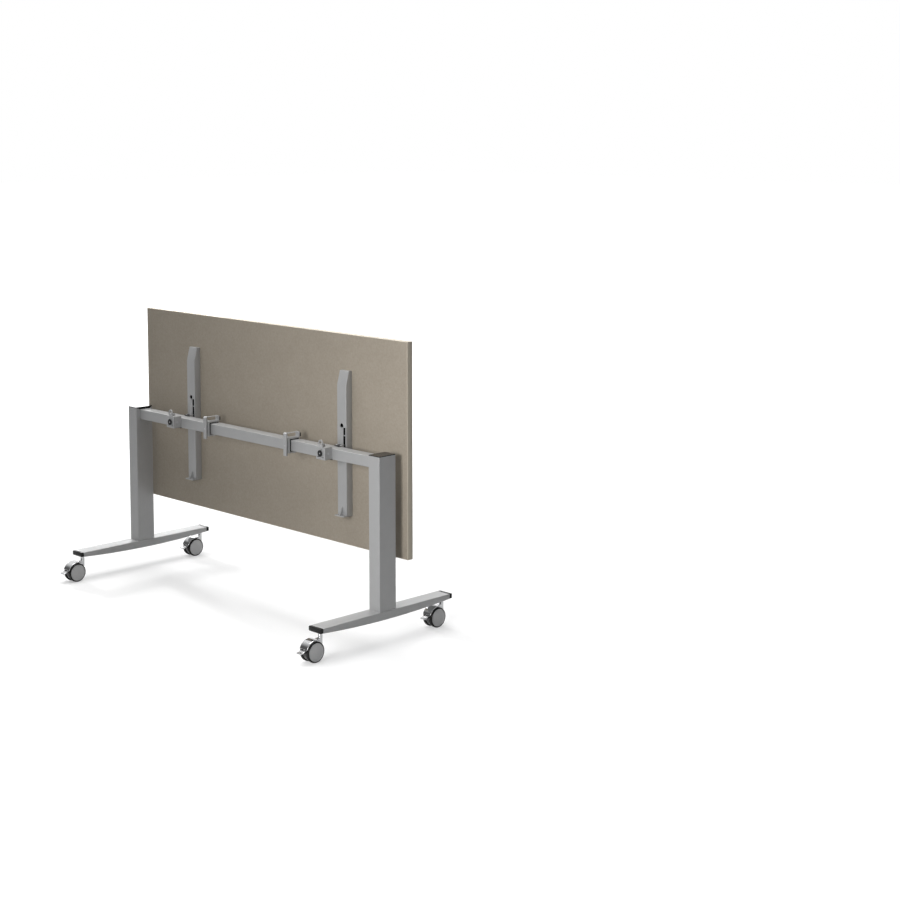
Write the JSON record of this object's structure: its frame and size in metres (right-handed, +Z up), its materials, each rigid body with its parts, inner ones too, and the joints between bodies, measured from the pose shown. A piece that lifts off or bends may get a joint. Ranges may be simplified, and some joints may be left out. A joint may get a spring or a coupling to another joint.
{
  "type": "flip top training table",
  "caption": "Rectangular flip top training table in its upright stored position, on two T-shaped legs with braked twin-wheel casters and a crossbar that carries the hinges and latches.",
  "frame": {"origin": "on the floor, below the middle of the object's box: midway between the posts along the table, and midway between the front brake pedals and the rear ends of the feet", "axes": "+X along the table to the right as seen from the user's side, +Y from the user's side to the back, where the stored top hangs, +Z up"},
  "size_m": [1.6, 0.722, 1.0946],
  "materials": {
    "board": "wood-based board faced with a fine-textured taupe laminate",
    "edge": "taupe plastic edge band",
    "silver": "silver-grey textured powder coat",
    "steel": "zinc-plated steel",
    "dark_steel": "black powder coat",
    "plastic": "satin black plastic",
    "rubber": "black rubber",
    "chrome": "polished chrome",
    "tyre": "dark grey polyurethane tread",
    "hub": "mid-grey plastic disc"
  },
  "bodies": {
    "frame": {"crossbar": "silver", "post_left": "silver", "post_right": "silver", "post_cap_left": "plastic", "post_cap_right": "plastic", "post_bolts": "steel", "foot_left": "silver", "foot_right": "silver", "foot_end_caps": "plastic", "foot_bolts": "steel", "caster_stems": "steel", "latch_box_left": "silver", "latch_box_right": "silver", "guide_screws": "steel", "tab_pins": "steel", "hinge_bracket_left": "dark_steel", "hinge_bracket_right": "dark_steel", "hinge_bolts": "steel", "clamp_jaw_left": "silver", "clamp_jaw_right": "silver", "clamp_bar_left": "silver", "clamp_bar_right": "silver", "clamp_rivets": "steel", "clamp_liners": "rubber", "clamp_buffers": "rubber", "clamp_screws": "steel"},
    "top": {"tabletop": "board", "edge_band": "edge", "support_arm_left": "silver", "support_arm_right": "silver", "arm_end_plate_left": "silver", "arm_end_plate_right": "silver", "arm_screws": "steel", "hinge_pins": "steel"},
    "latch_left": {"latch_knob_left": "plastic", "latch_hook_left": "steel"},
    "ring_left": {"ring_tab_left": "silver"},
    "latch_right": {"latch_knob_right": "plastic", "latch_hook_right": "steel"},
    "ring_right": {"ring_tab_right": "silver"},
    "caster_front_left": {"caster_hood_front_left": "chrome"},
    "wheels_front_left": {"axle_front_left": "steel", "tyres_front_left": "tyre", "hubs_front_left": "hub"},
    "pedal_front_left": {"brake_pedal_front_left": "chrome"},
    "caster_front_right": {"caster_hood_front_right": "chrome"},
    "wheels_front_right": {"axle_front_right": "steel", "tyres_front_right": "tyre", "hubs_front_right": "hub"},
    "pedal_front_right": {"brake_pedal_front_right": "chrome"},
    "caster_rear_left": {"caster_hood_rear_left": "chrome"},
    "wheels_rear_left": {"axle_rear_left": "steel", "tyres_rear_left": "tyre", "hubs_rear_left": "hub"},
    "pedal_rear_left": {"brake_pedal_rear_left": "chrome"},
    "caster_rear_right": {"caster_hood_rear_right": "chrome"},
    "wheels_rear_right": {"axle_rear_right": "steel", "tyres_rear_right": "tyre", "hubs_rear_right": "hub"},
    "pedal_rear_right": {"brake_pedal_rear_right": "chrome"}
  },
  "joints": [
    {"name": "top_tilt", "type": "hinge", "parent": "frame", "child": "top", "pos_m": [0, 0.0735, 0.676], "axis": [1, 0, 0], "range_deg": [0, 90]},
    {"name": "latch_left_pull", "type": "slide", "parent": "frame", "child": "latch_left", "axis": [0, -1, 0], "range_m": [0, 0.006]},
    {"name": "ring_left_fold", "type": "hinge", "parent": "frame", "child": "ring_left", "pos_m": [-0.458, -0.01825, 0.681], "axis": [1, 0, 0], "range_deg": [0, 90]},
    {"name": "latch_right_pull", "type": "slide", "parent": "frame", "child": "latch_right", "axis": [0, -1, 0], "range_m": [0, 0.006]},
    {"name": "ring_right_fold", "type": "hinge", "parent": "frame", "child": "ring_right", "pos_m": [0.476, -0.01825, 0.681], "axis": [1, 0, 0], "range_deg": [0, 90]},
    {"name": "front_left_swivel", "type": "hinge", "parent": "frame", "child": "caster_front_left", "pos_m": [-0.75, -0.263, 0.09], "axis": [0, 0, 1], "continuous": true},
    {"name": "front_left_roll", "type": "hinge", "parent": "caster_front_left", "child": "wheels_front_left", "pos_m": [-0.75, -0.3, 0.038], "axis": [1, 0, 0], "continuous": true},
    {"name": "front_left_brake", "type": "hinge", "parent": "caster_front_left", "child": "pedal_front_left", "pos_m": [-0.75, -0.326, 0.044], "axis": [-1, 0, 0], "range_deg": [0, 14]},
    {"name": "front_right_swivel", "type": "hinge", "parent": "frame", "child": "caster_front_right", "pos_m": [0.75, -0.263, 0.09], "axis": [0, 0, 1], "continuous": true},
    {"name": "front_right_roll", "type": "hinge", "parent": "caster_front_right", "child": "wheels_front_right", "pos_m": [0.75, -0.3, 0.038], "axis": [1, 0, 0], "continuous": true},
    {"name": "front_right_brake", "type": "hinge", "parent": "caster_front_right", "child": "pedal_front_right", "pos_m": [0.75, -0.326, 0.044], "axis": [-1, 0, 0], "range_deg": [0, 14]},
    {"name": "rear_left_swivel", "type": "hinge", "parent": "frame", "child": "caster_rear_left", "pos_m": [-0.75, 0.335, 0.09], "axis": [0, 0, 1], "continuous": true},
    {"name": "rear_left_roll", "type": "hinge", "parent": "caster_rear_left", "child": "wheels_rear_left", "pos_m": [-0.75, 0.298, 0.038], "axis": [1, 0, 0], "continuous": true},
    {"name": "rear_left_brake", "type": "hinge", "parent": "caster_rear_left", "child": "pedal_rear_left", "pos_m": [-0.75, 0.272, 0.044], "axis": [-1, 0, 0], "range_deg": [0, 14]},
    {"name": "rear_right_swivel", "type": "hinge", "parent": "frame", "child": "caster_rear_right", "pos_m": [0.75, 0.335, 0.09], "axis": [0, 0, 1], "continuous": true},
    {"name": "rear_right_roll", "type": "hinge", "parent": "caster_rear_right", "child": "wheels_rear_right", "pos_m": [0.75, 0.298, 0.038], "axis": [1, 0, 0], "continuous": true},
    {"name": "rear_right_brake", "type": "hinge", "parent": "caster_rear_right", "child": "pedal_rear_right", "pos_m": [0.75, 0.272, 0.044], "axis": [-1, 0, 0], "range_deg": [0, 14]}
  ],
  "couplings": [
    {"joint": "ring_left_fold", "follows": "top_tilt", "ratio": 1},
    {"joint": "ring_right_fold", "follows": "top_tilt", "ratio": 1}
  ]
}
